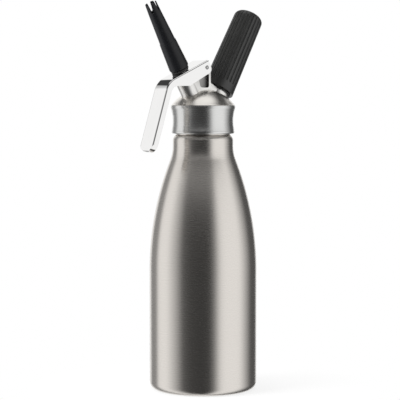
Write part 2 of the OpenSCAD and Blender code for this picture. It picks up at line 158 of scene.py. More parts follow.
def leaning_axis(lean: float, height: float) -> Matrix:
    """Place of an axis that leaves the bottle's axis at a height and leans towards +X.

    Args:
        lean: Lean from upright in degrees, negative towards -X.
        height: Height of the crossing in millimetres.

    Returns:
        The matrix that takes a piece modelled upright at the origin to that axis.
    """
    return Matrix.Translation((0, 0, height * MM)) @ Matrix.Rotation(math.radians(lean), 4, "Y")


# ---- modelling ----


class Cut(Enum):
    """How one solid works on another."""

    AWAY = "DIFFERENCE"
    JOIN = "UNION"
    KEEP = "INTERSECT"


class Workpiece:
    """One mesh object while it is modelled."""

    def __init__(self, thing: bpy.types.Object, name: str) -> None:
        """Takes over an object.

        Args:
            thing: The object to model.
            name: Its name from now on.
        """
        self.thing = thing
        thing.name = name
        thing.data.name = name

    @staticmethod
    def rest() -> None:
        """Leaves edit mode and selects nothing."""
        if bpy.context.object and bpy.context.object.mode != "OBJECT":
            bpy.ops.object.mode_set(mode="OBJECT")
        bpy.ops.object.select_all(action="DESELECT")

    @classmethod
    def from_path(cls, name: str, path: Sequence[Sequence[float]]) -> "Workpiece":
        """Draws a path by extruding one vertex from point to point.

        Args:
            name: Name of the piece.
            path: Points in millimetres.

        Returns:
            The piece, a chain of edges.
        """
        cls.rest()
        bpy.ops.mesh.primitive_plane_add(size=MM)
        piece = cls(bpy.context.object, name)
        with piece.editing("VERT"):
            bpy.ops.mesh.merge(type="CENTER")
            bpy.ops.transform.translate(value=Vector(path[0]) * MM)
            for here, there in zip(path, path[1:]):
                step = (Vector(there) - Vector(here)) * MM
                bpy.ops.mesh.extrude_vertices_move(TRANSFORM_OT_translate={"value": step})
        return piece

    @classmethod
    def lathe(cls, name: str, outline: Sequence[Point], steps: int) -> "Workpiece":
        """Spins an outline round the Z axis.

        Args:
            name: Name of the piece.
            outline: Points as (radius, height) in millimetres.
            steps: Number of steps in the turn.

        Returns:
            The piece, with its doubles merged and its faces outwards.
        """
        piece = cls.from_path(name, [(r, 0, z) for r, z in outline])
        with piece.editing("VERT"):
            bpy.ops.mesh.spin(steps=steps, angle=2 * math.pi, center=(0, 0, 0), axis=(0, 0, 1))
        piece.clean()
        return piece

    @classmethod
    def slab(cls, name: str, outline: Sequence[Sequence[float]], along: Sequence[float]) -> "Workpiece":
        """Fills a flat outline and extrudes it.

        Args:
            name: Name of the piece.
            outline: Corner points in millimetres.
            along: Direction and length of the extrusion in millimetres.

        Returns:
            The solid.
        """
        piece = cls.from_path(name, outline)
        with piece.editing("VERT"):
            bpy.ops.mesh.edge_face_add()
            bpy.ops.mesh.extrude_region_move(TRANSFORM_OT_translate={"value": Vector(along) * MM})
        piece.clean()
        return piece

    @classmethod
    def thread(cls, name: str, ridge: Sequence[Point], pitch: float, steps: int) -> "Workpiece":
        """Winds the outline of a ridge up round the Z axis, and closes its two ends.

        Args:
            name: Name of the piece.
            ridge: Closed outline of the ridge as (radius, height) in millimetres.
            pitch: Rise of a turn in millimetres.
            steps: Number of steps in a turn.

        Returns:
            The thread, a closed solid.
        """
        piece = cls.from_path(name, [(r, 0, z) for r, z in ridge]).clean()
        piece.apply("SCREW", angle=2 * math.pi, screw_offset=pitch * MM, iterations=THREAD_TURNS,
                    steps=steps, render_steps=steps, use_merge_vertices=True, merge_threshold=1e-7)
        with piece.editing("EDGE"):
            piece.select_open_edges()
            bpy.ops.mesh.fill_holes(sides=0)
        return piece.clean()

    @classmethod
    def rod(cls, name: str, radius: float, low: float, high: float, sides: int) -> "Workpiece":
        """Makes a round bar about the Z axis, for use as a tool.

        Args:
            name: Name of the bar.
            radius: Its radius in millimetres.
            low: Height of its lower end.
            high: Height of its upper end.
            sides: Number of its sides.

        Returns:
            The bar.
        """
        cls.rest()
        bpy.ops.mesh.primitive_cylinder_add(vertices=sides, radius=radius * MM, depth=(high - low) * MM,
                                            location=(0, 0, (low + high) / 2 * MM))
        return cls(bpy.context.object, name).settled()

    @classmethod
    def copy_of(cls, node: bpy.types.Object, name: str) -> "Workpiece":
        """Copies a CAD node's mesh, merges its loose triangles and joins them into flat faces.

        Args:
            node: The CAD node.
            name: Name of the piece.

        Returns:
            The piece.
        """
        cls.rest()
        twin = bpy.data.objects.new(name, node.data.copy())
        bpy.context.scene.collection.objects.link(twin)
        twin.data.materials.clear()
        piece = cls(twin, name)
        with piece.editing("VERT"):
            bpy.ops.mesh.select_all(action="SELECT")
            bpy.ops.mesh.remove_doubles(threshold=2e-6)
            bpy.ops.mesh.customdata_custom_splitnormals_clear()
            bpy.ops.mesh.select_all(action="SELECT")
            bpy.ops.mesh.dissolve_limited(angle_limit=math.radians(0.6))
        return piece

    def activate(self) -> None:
        """Makes this the one selected and active object."""
        self.rest()
        self.thing.select_set(True)
        bpy.context.view_layer.objects.active = self.thing

    @contextmanager
    def editing(self, kind: str) -> Iterator[None]:
        """Edit mode on this piece, with all of it selected.

        Args:
            kind: The select mode, "VERT", "EDGE" or "FACE".

        Yields:
            Nothing; edit mode ends with the block.
        """
        self.activate()
        bpy.ops.object.mode_set(mode="EDIT")
        bpy.ops.mesh.select_mode(type=kind)
        bpy.ops.mesh.select_all(action="SELECT")
        try:
            yield
        finally:
            bpy.ops.object.mode_set(mode="OBJECT")

    def select_open_edges(self) -> None:
        """Selects the edges that have one face only, in edit mode."""
        grid = bmesh.from_edit_mesh(self.thing.data)
        bpy.ops.mesh.select_all(action="DESELECT")
        for edge in grid.edges:
            if edge.is_boundary:
                edge.select_set(True)
        bmesh.update_edit_mesh(self.thing.data)

    def clean(self) -> "Workpiece":
        """Merges doubles and turns the faces outwards.

        Returns:
            The piece.
        """
        with self.editing("VERT"):
            bpy.ops.mesh.remove_doubles(threshold=1e-6)
            bpy.ops.mesh.normals_make_consistent(inside=False)
        return self

    def around(self, count: int, first: float) -> "Workpiece":
        """Repeats the piece round the Z axis, each copy with a mesh of its own, and joins them.

        Args:
            count: Number of copies, this one included.
            first: Angle of the first in degrees.

        Returns:
            The piece, which now holds all of them.
        """
        self.placed(Matrix.Rotation(math.radians(first), 4, "Z"))
        twins = []
        for i in range(1, count):
            twin = self.thing.copy()
            twin.data = self.thing.data.copy()
            bpy.context.scene.collection.objects.link(twin)
            twin.matrix_world = Matrix.Rotation(2 * math.pi * i / count, 4, "Z")
            twins.append(twin)
        self.activate()
        for twin in twins:
            twin.select_set(True)
        bpy.ops.object.join()
        return self

    def apply(self, kind: str, **settings: object) -> "Workpiece":
        """Adds a modifier and applies it.

        Args:
            kind: The modifier's type.
            settings: Its settings by name.

        Returns:
            The piece.
        """
        self.activate()
        modifier = self.thing.modifiers.new(kind.title(), kind)
        for name, value in settings.items():
            setattr(modifier, name, value)
        bpy.ops.object.modifier_apply(modifier=modifier.name)
        return self

    def work(self, how: Cut, tool: "Workpiece", tangled: bool = False) -> "Workpiece":
        """Cuts, joins or intersects with another solid, which is used up.

        Args:
            how: Which of the three.
            tool: The other solid.
            tangled: Whether the solver also looks for crossings within each solid. Without it the
                lever's intersection comes out empty.

        Returns:
            The piece.
        """
        self.apply("BOOLEAN", operation=how.value, object=tool.thing, solver="EXACT", use_self=tangled)
        bpy.data.objects.remove(tool.thing)
        return self

    def edge_break(self, width: float, segments: int, angle: float, clamp: bool = True) -> "Workpiece":
        """Rounds every edge sharper than an angle.

        Args:
            width: Width of the rounding in millimetres.
            segments: Number of its facets.
            angle: The angle in degrees.
            clamp: Whether short edges nearby make the rounding narrower.

        Returns:
            The piece.
        """
        return self.apply("BEVEL", width=width * MM, segments=segments, limit_method="ANGLE",
                          angle_limit=math.radians(angle), use_clamp_overlap=clamp)

    def settled(self) -> "Workpiece":
        """Applies the object's place, so that its origin is the frame's."""
        self.activate()
        bpy.ops.object.transform_apply(location=True, rotation=True, scale=True)
        return self

    def placed(self, matrix: Matrix) -> "Workpiece":
        """Moves the piece to its place in the frame and applies it."""
        self.thing.matrix_world = matrix
        return self.settled()

    def dress(self, finish: "Finish", body: str, *replaced: str, angle: float = 32) -> "Workpiece":
        """Gives the piece its finish and joins it to the frame.

        Args:
            finish: The finish, whose material the piece takes.
            body: The CAD body it rides on.
            replaced: The CAD nodes it stands for.
            angle: Edges sharper than this stay sharp in the shading.

        Returns:
            The piece.
        """
        self.activate()
        bpy.ops.object.shade_smooth_by_angle(angle=math.radians(angle))
        self.thing.data.materials.clear()
        self.thing.data.materials.append(finish.material())
        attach(self.thing, body)
        if replaced:
            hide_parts(*replaced)
        log.info("%s: %d faces, on %s", self.thing.name, len(self.thing.data.polygons), body)
        return self


# ---- shader maths ----


class Value:
    """A number that varies over a surface: an output socket that takes part in sums."""

    def __init__(self, graph: "Graph", socket: bpy.types.NodeSocket) -> None:
        """Wraps an output socket of a graph."""
        self.graph = graph
        self.socket = socket

    def __add__(self, other: "Value | float") -> "Value":
        """Sum."""
        return self.graph.maths("ADD", self, other)

    __radd__ = __add__

    def __sub__(self, other: "Value | float") -> "Value":
        """Difference."""
        return self.graph.maths("SUBTRACT", self, other)

    def __rsub__(self, other: float) -> "Value":
        """Difference from a number."""
        return self.graph.maths("SUBTRACT", other, self)

    def __mul__(self, other: "Value | float") -> "Value":
        """Product."""
        return self.graph.maths("MULTIPLY", self, other)

    __rmul__ = __mul__

    def __truediv__(self, other: "Value | float") -> "Value":
        """Quotient."""
        return self.graph.maths("DIVIDE", self, other)

    def clamped(self) -> "Value":
        """The value held between 0 and 1."""
        return self.graph.maths("MAXIMUM", self.graph.maths("MINIMUM", self, 1.0), 0.0)


class Graph:
    """The node tree of a material or of the world."""

    def __init__(self, tree: bpy.types.NodeTree) -> None:
        """Empties a node tree and works in it."""
        self.tree = tree
        tree.nodes.clear()

    def node(self, kind: str, settings: dict[str, object] | None = None,
             inputs: dict[str | int, object] | None = None) -> bpy.types.Node:
        """Makes one node.

        Args:
            kind: The node's type.
            settings: Its own settings; "stops" are a colour ramp's (position, colour) pairs.
            inputs: Values or links of its sockets, by name or number.

        Returns:
            The node.
        """
        made = self.tree.nodes.new(kind)
        for name, value in (settings or {}).items():
            if name == "stops":
                self._set_stops(made.color_ramp, value)
            else:
                setattr(made, name, value)
        for name, value in (inputs or {}).items():
            if isinstance(value, Value):
                self.tree.links.new(value.socket, made.inputs[name])
            elif isinstance(value, bpy.types.NodeSocket):
                self.tree.links.new(value, made.inputs[name])
            else:
                made.inputs[name].default_value = value
        return made

    @staticmethod
    def _set_stops(ramp: bpy.types.ColorRamp, stops: Sequence[tuple[float, float]]) -> None:
        """Fills a colour ramp with grey stops.

        Args:
            ramp: The ramp.
            stops: Its (position, level) pairs.
        """
        while len(ramp.elements) < len(stops):
            ramp.elements.new(0.5)
        for element, (position, _) in zip(ramp.elements, stops):
            element.position = position
        for element, (position, level) in zip(ramp.elements, stops):
            element.position = position
            element.color = (level, level, level, 1)

    def value(self, kind: str, settings: dict[str, object] | None = None,
              inputs: dict[str | int, object] | None = None) -> Value:
        """Makes a node and returns its first output as a value."""
        return Value(self, self.node(kind, settings, inputs).outputs[0])

    def maths(self, operation: str, *values: "Value | float") -> Value:
        """A Math node's result."""
        return self.value("ShaderNodeMath", {"operation": operation}, dict(enumerate(values)))

    def place(self) -> tuple[Value, Value, Value, Value]:
        """Where a point lies in the frame, in millimetres.

        Returns:
            The position as a vector, and its three parts.
        """
        at = self.node("ShaderNodeTexCoord").outputs["Object"]
        scaled = self.value("ShaderNodeVectorMath", {"operation": "SCALE"}, {0: at, "Scale": 1 / MM})
        parts = self.node("ShaderNodeSeparateXYZ", None, {0: scaled}).outputs
        return scaled, Value(self, parts[0]), Value(self, parts[1]), Value(self, parts[2])

    def grain(self, at: Value, stretch: Sequence[float], detail: float = 2.0) -> Value:
        """Noise over a position, stretched by so many cells per millimetre along each axis."""
        scaled = self.value("ShaderNodeVectorMath", {"operation": "MULTIPLY"}, {0: at, 1: tuple(stretch)})
        return self.value("ShaderNodeTexNoise", None, {"Vector": scaled, "Scale": 1.0, "Detail": detail})

    def blend(self, factor: Value, first: Colour, second: Colour) -> bpy.types.NodeSocket:
        """A colour between two, by a factor."""
        mixed = self.node("ShaderNodeMix", {"data_type": "RGBA"}, {
            0: factor, 6: (*first, 1), 7: (*second, 1)})
        return mixed.outputs[2]

    def bump(self, height: Value, strength: float, distance: float) -> bpy.types.NodeSocket:
        """The normal of a surface with this relief, its depth in millimetres."""
        return self.node("ShaderNodeBump", None, {
            "Height": height, "Strength": strength, "Distance": distance * MM}).outputs[0]


# ---- finishes ----


@dataclass(frozen=True)
class Finish:
    """A finish: the record's slot it stands for and the colour it starts from."""

    name: str
    slot: str
    colour: Colour
    roughness: float

    def material(self) -> bpy.types.Material:
        """The material, made once and then shared.

        Returns:
            The material.
        """
        label = f"{self.name}_finish"
        found = bpy.data.materials.get(label)
        if found is None:
            found = bpy.data.materials.new(label)
            found.use_nodes = True
            graph = Graph(found.node_tree)
            shader = graph.node("ShaderNodeBsdfPrincipled", None, self.sockets(graph))
            graph.node("ShaderNodeOutputMaterial", None, {"Surface": shader.outputs[0]})
        return found

    def sockets(self, graph: Graph) -> dict[str | int, object]:
        """What goes into the shader's sockets."""
        raise NotImplementedError

    def shade(self, share: float) -> Colour:
        """The finish's colour, lighter or darker by a share."""
        return tuple(min(1.0, channel * share) for channel in self.colour)


@dataclass(frozen=True)
class SpunSteel(Finish):
    """Metal brushed round its axis: fine lines, and a sheen drawn out across them."""

    across: float = 0.6
    relief: float = 0.004
    contrast: float = 0.06

    def sockets(self, graph: Graph) -> dict[str | int, object]:
        """Lines round the axis in colour, roughness and relief.

        Args:
            graph: The material's graph.

        Returns:
            What goes into the shader's sockets, by name.
        """
        at, _, _, _ = graph.place()
        hair = graph.grain(at, (0.03, 0.03, 9.0), 3.0)
        bands = graph.grain(at, (0.02, 0.02, 0.9), 2.0)
        lines = 0.8 * hair + 0.2 * bands
        return {
            "Base Color": graph.blend(lines, self.shade(1 - self.contrast), self.shade(1 + self.contrast)),
            "Metallic": 1.0,
            "Roughness": (self.roughness - 0.02) + 0.04 * lines,
            "Anisotropic": self.across,
            "Anisotropic Rotation": 0.25,
            "Normal": graph.bump(hair, 0.08, self.relief),
        }


@dataclass(frozen=True)
class PolishedSteel(Finish):
    """Mirror polish with the faint haze and hairlines of handling."""

    haze: float = 0.05

    def sockets(self, graph: Graph) -> dict[str | int, object]:
        """A clear mirror whose roughness drifts over the surface.

        Args:
            graph: The material's graph.

        Returns:
            What goes into the shader's sockets, by name.
        """
        at, _, _, _ = graph.place()
        cloud = graph.grain(at, (0.09, 0.09, 0.09), 3.0)
        hairline = graph.grain(at, (0.3, 4.0, 0.3), 2.0)
        return {
            "Base Color": graph.blend(cloud, self.shade(0.975), self.shade(1.025)),
            "Metallic": 1.0,
            "Roughness": self.roughness + self.haze * (cloud * hairline),
            "Normal": graph.bump(hairline, 0.05, 0.002),
        }


@dataclass(frozen=True)
class PocketedCasting(Finish):
    """Polished casting whose side pockets are left as cast and dull, with painted shade darkening their
    colour.
    """

    pocket_low: tuple[float, float] = (-15.0, 270.9)
    pocket_high: tuple[float, float] = (0.4, 283.8)
    polished_y: float = 7.7

    def sockets(self, graph: Graph) -> dict[str | int, object]:
        """Polish outside; in the pockets a duller skin, and painted shade darkening their colour, more
        towards +X.

        Args:
            graph: The material's graph.

        Returns:
            What goes into the shader's sockets, by name.
        """
        at, x, y, z = graph.place()
        cloud = graph.grain(at, (0.3, 0.3, 0.3), 3.0)
        pocket = ((self.polished_y - graph.maths("ABSOLUTE", y)) * 4.0).clamped()
        for part, low, high in ((x, self.pocket_low[0], self.pocket_high[0]),
                                (z, self.pocket_low[1], self.pocket_high[1])):
            pocket = pocket * ((part - low) * 8.0).clamped() * ((high - part) * 8.0).clamped()
        # Painted shade: the pockets' colour is darkened towards 0.22 of the polish, more towards +X.
        painted_pocket_shade = pocket * (0.55 + 0.45 * ((x + 10.0) * 0.1).clamped())
        return {
            "Base Color": graph.blend(painted_pocket_shade, self.colour, self.shade(0.22)),
            "Metallic": 1.0,
            "Roughness": (self.roughness - 0.03) + 0.06 * cloud + 0.15 * pocket,
            "Normal": graph.bump(cloud, 0.05, 0.01),
        }


@dataclass(frozen=True)
class TurnedMetal(Finish):
    """Plain turned or drawn metal of a working piece."""

    def sockets(self, graph: Graph) -> dict[str | int, object]:
        """Tool marks in colour, roughness and relief.

        Args:
            graph: The material's graph.

        Returns:
            What goes into the shader's sockets, by name.
        """
        at, _, _, _ = graph.place()
        marks = graph.grain(at, (1.2, 1.2, 1.2), 4.0)
        return {
            "Base Color": graph.blend(marks, self.shade(0.92), self.shade(1.06)),
            "Metallic": 1.0,
            "Roughness": (self.roughness - 0.06) + 0.12 * marks,
            "Normal": graph.bump(marks, 0.15, 0.01),
        }


@dataclass(frozen=True)
class MouldedPlastic(Finish):
    """Moulded plastic: a fine spark-eroded texture, rubbed a little smoother in patches."""

    grit: float = 0.02
    sheen: Colour = (0.05, 0.05, 0.05)
    gleam: float = 0.35

    def sockets(self, graph: Graph) -> dict[str | int, object]:
        """Fine grit in relief, slow change in gloss and colour.

        Args:
            graph: The material's graph.

        Returns:
            What goes into the shader's sockets, by name.
        """
        at, _, _, _ = graph.place()
        fine = graph.grain(at, (5.0, 5.0, 5.0), 2.0)
        slow = graph.grain(at, (0.12, 0.12, 0.12), 2.0)
        return {
            "Base Color": graph.blend(slow, self.colour, self.sheen),
            "Specular IOR Level": self.gleam,
            "Roughness": (self.roughness - 0.04) + 0.06 * slow + 0.03 * fine,
            "Normal": graph.bump(fine, 0.3, self.grit),
        }


@dataclass(frozen=True)
class SoftRubber(Finish):
    """Rubber or silicone with a dusty, even surface."""

    def sockets(self, graph: Graph) -> dict[str | int, object]:
        """Dust in colour, roughness and relief.

        Args:
            graph: The material's graph.

        Returns:
            What goes into the shader's sockets, by name.
        """
        at, _, _, _ = graph.place()
        dust = graph.grain(at, (1.5, 1.5, 1.5), 3.0)
        return {
            "Base Color": graph.blend(dust, self.colour, self.shade(1.3)),
            "Roughness": (self.roughness - 0.05) + 0.1 * dust,
            "Normal": graph.bump(dust, 0.2, 0.02),
        }


VALVE_AXIS = leaning_axis(-30, 240.7)
CHARGER_AXIS = leaning_axis(29.5, 238.45)

BOTTLE_STEEL = SpunSteel("brushed_bottle_steel", "brushed_bottle", (0.73, 0.695, 0.655), 0.27, 0.6, 0.002,
                         0.025)
DOME_STEEL = SpunSteel("spun_dome_steel", "brushed_dome", (0.90, 0.87, 0.82), 0.28, 0.5, 0.002, 0.04)
COLLAR_STEEL = SpunSteel("satin_collar_steel", "satin_collar", (0.72, 0.72, 0.71), 0.27, 0.5, 0.001, 0.015)
BLOCK_STEEL = PocketedCasting("polished_casting", "polished_casting", (0.84, 0.83, 0.81), 0.33)
LEVER_STEEL = PolishedSteel("polished_lever", "polished_lever", (0.87, 0.865, 0.86), 0.03, 0.03)
WORKING_STEEL = TurnedMetal("turned_steel", "turned_steel", (0.66, 0.66, 0.66), 0.28)
SPRING_WIRE = TurnedMetal("spring_wire", "spring_steel", (0.50, 0.50, 0.50), 0.30)
CHARGER_STEEL = TurnedMetal("plated_charger", "charger_steel", (0.60, 0.60, 0.62), 0.30)
BRASS = TurnedMetal("turned_brass", "brass", (0.78, 0.60, 0.30), 0.28)
SLEEVE_METAL = TurnedMetal("sleeve_aluminium", "sleeve_aluminium", (0.72, 0.73, 0.75), 0.35)
NOZZLE_PLASTIC = MouldedPlastic("satin_nozzle_plastic", "nozzle_plastic", (0.004, 0.0045, 0.006), 0.34,
                                0.008, (0.007, 0.0075, 0.009))
GRIP_PLASTIC = MouldedPlastic("ribbed_grip_plastic", "grip_plastic", (0.012, 0.012, 0.0115), 0.34,
                              0.012, (0.018, 0.018, 0.017), 0.7)
WASHER_PLASTIC = MouldedPlastic("washer_plastic", "dark_plastic", (0.018, 0.018, 0.018), 0.45)
DARK_RUBBER = SoftRubber("dark_rubber", "dark_rubber", (0.016, 0.016, 0.016), 0.6)
SILICONE = SoftRubber("white_silicone", "silicone", (0.60, 0.60, 0.58), 0.5)


# ---- bottle ----


@dataclass
class Bottle:
    """The brushed bottle with its neck and screw thread."""

    radius: float = 48.2
    wall: float = 1.1
    base_corner: float = 6.8
    shoulder_z: float = 107.0
    shoulder_radius: float = 275.0
    blend_radius: float = 34.0
    neck: float = 27.1
    neck_top: float = 224.2
    neck_round: float = 5.5
    thread: float = 24.9
    thread_depth: float = 0.55
    thread_pitch: float = 3.5
    mouth: float = 22.4
    mouth_z: float = 252.0

    def side(self, depth: float) -> list[Point]:
        """Half outline from the base into the neck.

        Args:
            depth: How far it lies under the outer face.

        Returns:
            The points as (radius, height), from the base up.
        """
        shoulder = Vector((self.radius - self.shoulder_radius, self.shoulder_z))
        across = self.neck + self.blend_radius - shoulder.x
        up = math.sqrt((self.shoulder_radius + self.blend_radius) ** 2 - across ** 2)
        angle = math.degrees(math.atan2(up, across))
        blend = (self.neck + self.blend_radius, self.shoulder_z + up)
        base = (self.radius - self.base_corner, self.base_corner)
        return (arc(base, self.base_corner - depth, -90, 0, 10)
                + arc(shoulder, self.shoulder_radius - depth, 0, angle, 40)
                + arc(blend, self.blend_radius + depth, 180 + angle, 180, 14))

    def build(self) -> None:
        """Models the bottle's shell and the thread on its neck."""
        round_centre = (self.neck - self.neck_round, self.neck_top)
        root = self.thread - self.thread_depth
        round_end = math.degrees(math.acos((root - round_centre[0]) / self.neck_round))
        foot = [(0, 1.2), (33.5, 1.2), (35.0, 0.9), (35.8, 0.15), (36.6, 0.0)]
        shell = (foot + self.side(0)
                 + arc(round_centre, self.neck_round, 0, round_end, 8)
                 + softened([(root, 229, 0), (root, 249.6, 0.2), (self.thread - 0.1, 250.2, 0.5),
                             (self.thread - 0.1, self.mouth_z, 0.7), (self.mouth, self.mouth_z, 0.8),
                             (self.mouth, self.neck_top + 5.5, 1.5),
                             (self.neck - self.wall, self.neck_top - 1, 0)])
                 + list(reversed(self.side(self.wall)))
                 + [(34, 1.2 + self.wall + 0.6), (0, 1.2 + self.wall + 0.6)])
        Workpiece.lathe("bottle_shell", shell, 160).dress(BOTTLE_STEEL, "bottle", "bottle", angle=38)

        ridge = [(root - 0.2, 231.2), (root - 0.2, 233.4), (self.thread, 232.6), (self.thread, 232.0),
                 (root - 0.2, 231.2)]
        thread = Workpiece.thread("neck_thread", ridge, self.thread_pitch, 72)
        thread.dress(BOTTLE_STEEL, "bottle")


# ---- head ----


@dataclass
class Head:
    """The dome, its collar, and the cast block that carries the valve and the charger holder."""

    dome_radius: float = 35.0
    dome_centre: float = 235.0
    dome_wall: float = 2.0
    rim_z: float = 255.2
    skirt_radius: float = 25.0
    skirt_outer: float = 26.0
    skirt_low: float = 231.0
    seat_radius: float = 22.3
    seat_z: float = 254.2
    collar_z: float = 230.0
    lip: float = 28.1
    bead: float = 28.9
    waist: float = 27.1
    waist_curve: float = 36.0
    waist_z: float = 241.5
    pin_radius: float = 1.75
    stub_pitch: float = 2.0

    def build(self) -> None:
        """Models every piece of the head that shows."""
        self.build_dome()
        self.build_collar()
        self.build_block()
        self.build_pin()
        self.build_stub_thread()

    def build_dome(self) -> None:
        """Dome with its plain skirt, which lies inside the collar.

        Unlike the CAD dome it has no holes, so the valve and the stub pass through its metal.
        """
        centre = (0, self.dome_centre)
        inner = self.dome_radius - self.dome_wall
        start = math.degrees(math.asin((self.rim_z + 0.25 - self.dome_centre) / self.dome_radius))
        outline = ([(self.skirt_radius, self.skirt_low + 0.3), (self.skirt_radius + 0.3, self.skirt_low),
                    (self.skirt_outer, self.skirt_low), (self.skirt_outer, self.rim_z + 0.02)]
                   + corner((20, self.rim_z + 0.02), (28.75, self.rim_z + 0.02), (27.6, 256.6), 0.25, 4)
                   + arc(centre, self.dome_radius, start + 0.6, 90, 40))
        outline[-1] = (0, outline[-1][1])
        inside = arc(centre, inner, 90, math.degrees(math.acos(self.seat_radius / inner)), 20)
        inside[0] = (0, inside[0][1])
        outline += inside + [(self.seat_radius, self.seat_z), (self.skirt_radius, self.seat_z), outline[0]]
        Workpiece.lathe("dome_shell", outline, 160).dress(DOME_STEEL, "head", "head_dome", angle=40)

    def build_collar(self) -> None:
        """Waisted collar with a turned line above its lip."""
        line = self.collar_z + 2.5
        centre = (self.waist + self.waist_curve, self.waist_z)
        low = 180 + math.degrees(math.asin((self.waist_z - line - 0.45) / self.waist_curve))
        high = 180 - math.degrees(math.asin((self.rim_z - 2.3 - self.waist_z) / self.waist_curve))
        outline = ([(self.skirt_outer, self.collar_z)]
                   + corner((self.skirt_outer, self.collar_z), (self.lip, self.collar_z),
                            (self.lip, line), 1.2)
                   + softened([(self.lip, line - 0.3, 0), (self.lip, line, 0.15),
                               (self.lip - 0.35, line + 0.05, 0.1), (self.lip - 0.35, line + 0.4, 0)], 3)
                   + arc(centre, self.waist_curve, low, high, 28)
                   + softened([(self.bead, self.rim_z - 1.4, 0), (self.bead, self.rim_z, 0.4),
                               (self.skirt_outer, self.rim_z, 0)])
                   + [(self.skirt_outer, self.collar_z)])
        Workpiece.lathe("collar_sleeve", outline, 160).dress(COLLAR_STEEL, "head", "head_collar", angle=40)

    def build_block(self) -> None:
        """Cast block with its edges broken by hand polishing."""
        block = Workpiece.copy_of(bpy.data.objects["head_block"], "cast_block")
        block.edge_break(0.4, 3, 30)
        block.dress(BLOCK_STEEL, "head", "head_block", angle=30)

    def build_pin(self) -> None:
        """Lever pin, its ends turned down to spigots that leave a dark ring in the lever's holes."""
        half, r, spigot = 11.35, self.pin_radius, 1.15
        end = [(0, half), (spigot - 0.3, half), (spigot, half - 0.3), (spigot, half - 1.3), (r, half - 1.4)]
        outline = [(radius, -up) for radius, up in end] + list(reversed(end))
        pin = Workpiece.lathe("lever_pin_rod", outline, 40)
        across = Matrix.Rotation(math.pi / 2, 4, "X")
        place = Matrix.Translation((LEVER_PIVOT[0] * MM, 0, LEVER_PIVOT[1] * MM)) @ across
        pin.placed(place).dress(WORKING_STEEL, "head", "lever_pin", angle=50)

    def build_stub_thread(self) -> None:
        """Screw thread on the stub that carries the charger holder."""
        root, crest, low = 9.15, 9.7, 36.0
        ridge = [(root - 0.1, low), (root - 0.1, low + 1.3), (crest, low + 0.85), (crest, low + 0.45),
                 (root - 0.1, low)]
        thread = Workpiece.thread("stub_thread", ridge, self.stub_pitch, 48)
        outline = softened([(4.9, 39.1, 0), (4.9, 46.6, 0.3), (root, 46.6, 0.6), (root, 35.2, 0.3),
                            (crest, 34.9, 0.2), (crest, 33.6, 0), (4.5, 33.6, 0), (4.5, 28.6, 0.3),
                            (2.4, 28.6, 0), (2.4, 31.6, 0), (1, 31.6, 0), (1, 35.6, 0), (3, 35.6, 0),
                            (3, 39.1, 0), (4.9, 39.1, 0)], 3)
        stub = Workpiece.lathe("holder_stub", outline, 72)
        stub.work(Cut.JOIN, thread)
        stub.placed(CHARGER_AXIS).dress(WORKING_STEEL, "head", "pin_holder", angle=30)


# ---- lever ----


@dataclass
class Lever:
    """The squeeze lever: a polished channel, bent over the valve and turned in at its tip."""

    nose: float = 5.5
    upper_slope: float = 24.4
    upper_length: float = 43.8
    lower_lean: float = 18.0
    lower_length: float = 67.0
    tip_rise: float = 20.0
    bend_radius: float = 18.0
    tip_radius: float = 3.1625
    half_width: float = 11.5
    tip_half_width: float = 9.1
    roll: float = 1.6
    spare: float = 0.02
    taper_start: float = 10.0
    past_bend: float = 2.0
    past_pivot: float = 12.0
    past_tip: float = 30.0
    inner_end: Point = (10.0, 250.0)
    bar_half_width: float = 13.0
    plan_ends: Point = (-90.0, 40.0)
    plan_low: float = 190.0
    plan_height: float = 130.0

    def build(self) -> None:
        """Breaks the edges of the channel, and rolls its long outer edges over.

        The intersection leaves a few open and a few shared edges in the mesh.
        """
        piece = Workpiece.copy_of(bpy.data.objects["lever"], "lever_channel")
        piece.edge_break(0.2, 2, 40, clamp=False)
        piece.work(Cut.KEEP, self.rolled_bar(), tangled=True)
        piece.clean().dress(LEVER_STEEL, "lever", "lever", angle=40)
        piece.apply("WEIGHTED_NORMAL", keep_sharp=True, weight=100)

    def rolled_bar(self) -> Workpiece:
        """Makes the bent bar, a hair outside the channel, that gives it its rolled edges.

        Returns:
            The bar, with its long edges rolled over.
        """
        upper, lower = turn(180 + self.upper_slope), turn(270 - self.lower_lean)
        upper_normal, lower_normal = turn(90 + self.upper_slope), turn(180 - self.lower_lean)
        tip_way, tip_normal = turn(self.tip_rise), turn(90 + self.tip_rise)
        corner_at = Vector(LEVER_PIVOT) + self.nose * upper_normal + self.upper_length * upper
        half = math.radians(90 - self.upper_slope - self.lower_lean) / 2
        bend = corner_at + self.spare / math.cos(half) * (upper_normal + lower_normal).normalized()
        tip = (corner_at + self.lower_length * lower
               - self.spare / (1 - lower_normal.dot(tip_normal)) * (tip_normal - lower_normal))
        start, end = bend - (self.upper_length + self.past_pivot) * upper, tip + self.past_tip * tip_way
        side = ([tuple(start)]
                + corner(tuple(start), tuple(bend), tuple(tip), self.bend_radius + self.spare, 28)
                + corner(tuple(bend), tuple(tip), tuple(end), self.tip_radius + self.spare, 16)
                + [tuple(end), self.inner_end, tuple(start)])
        bar = Workpiece.slab("lever_bar", [(x, -self.bar_half_width, z) for x, z in side],
                             (0, 2 * self.bar_half_width, 0))
        wide, narrow = self.half_width + self.spare, self.tip_half_width + self.spare
        far, near = self.plan_ends
        half_plan = [(near, wide), (LEVER_PIVOT[0] + self.taper_start, wide),
                     (corner_at.x + self.past_bend, narrow), (far, narrow)]
        plan = half_plan + [(x, -y) for x, y in reversed(half_plan)] + [half_plan[0]]
        bar.work(Cut.KEEP, Workpiece.slab("lever_plan", [(x, y, self.plan_low) for x, y in plan],
                                          (0, 0, self.plan_height)))
        return bar.edge_break(self.roll, 5, 40, clamp=False)


# ---- nozzle ----


